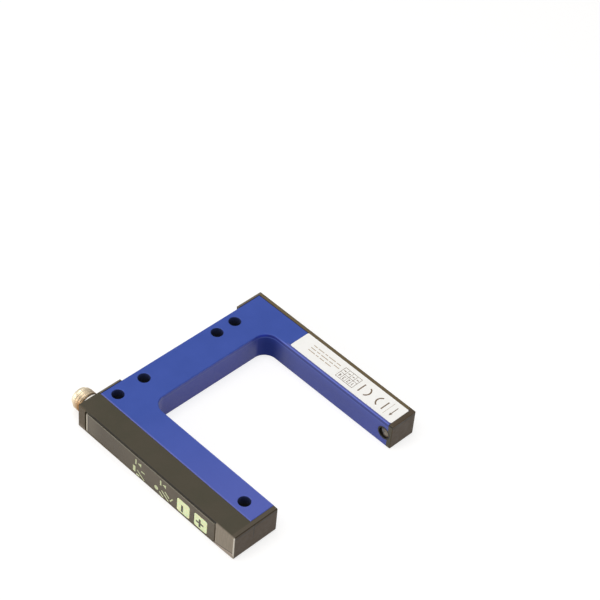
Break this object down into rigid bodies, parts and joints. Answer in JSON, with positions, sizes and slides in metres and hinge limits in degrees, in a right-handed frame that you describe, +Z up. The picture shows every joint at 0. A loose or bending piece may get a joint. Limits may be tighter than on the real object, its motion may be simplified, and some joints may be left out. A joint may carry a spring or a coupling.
{
  "type": "fork light sensor",
  "caption": "U-shaped photoelectric fork sensor: metal fork, moulded side covers, two setting keys, lens pair at the tips, round plug connector.",
  "frame": {"origin": "on the underside, midway between the two outer mounting holes of the bridge", "axes": "+X across the fork from the control leg to the beam leg, +Y to the back and the connector, +Z up from the underside; the legs reach towards -Y"},
  "size_m": [0.0788, 0.0778, 0.01],
  "materials": {
    "blue_metal": "satin blue coating on cast metal",
    "black_housing": "fine matte moulded black plastic",
    "dark_panel": "glossy smoked plastic",
    "key_plastic": "pale green plastic",
    "clear_plastic": "clear moulded light guide",
    "lens_plastic": "dark filter lens",
    "circuit_board": "green solder resist",
    "component_black": "black component case",
    "component_clear": "clear component case",
    "nickel": "nickel-plated turned brass, warm",
    "contact_gold": "gold-plated contact",
    "insert_plastic": "black contact carrier",
    "seal_rubber": "black sealing ring",
    "label_film": "white printed film",
    "lead_jacket": "black jacketed lead"
  },
  "bodies": {
    "housing": {"fork_frame": "blue_metal", "control_cover": "black_housing", "beam_cover": "black_housing", "control_panel": "dark_panel", "minus_switch": "component_black", "plus_switch": "component_black", "main_board": "circuit_board", "controller_chip": "component_black", "driver_chip": "component_black", "receiver_diode": "component_black", "receiver_lens": "lens_plastic", "emitter_board": "circuit_board", "emitter_led": "component_clear", "emitter_lens": "lens_plastic", "bridge_lead": "lead_jacket", "connector_shell": "nickel", "connector_insert": "insert_plastic", "connector_pins": "contact_gold", "connector_seal": "seal_rubber", "rating_label": "label_film", "ready_led": "component_clear", "output_led": "component_clear", "ready_light_guide": "clear_plastic", "output_light_guide": "clear_plastic"},
    "minus_key": {"minus_key": "key_plastic"},
    "plus_key": {"plus_key": "key_plastic"}
  },
  "joints": [
    {"name": "minus_key_press", "type": "slide", "parent": "housing", "child": "minus_key", "axis": [1, 0, 0], "range_m": [0, 0.00025], "stiffness_N_per_m": 2000, "springref_m": -0.0004},
    {"name": "plus_key_press", "type": "slide", "parent": "housing", "child": "plus_key", "axis": [1, 0, 0], "range_m": [0, 0.00025], "stiffness_N_per_m": 2000, "springref_m": -0.0004}
  ]
}
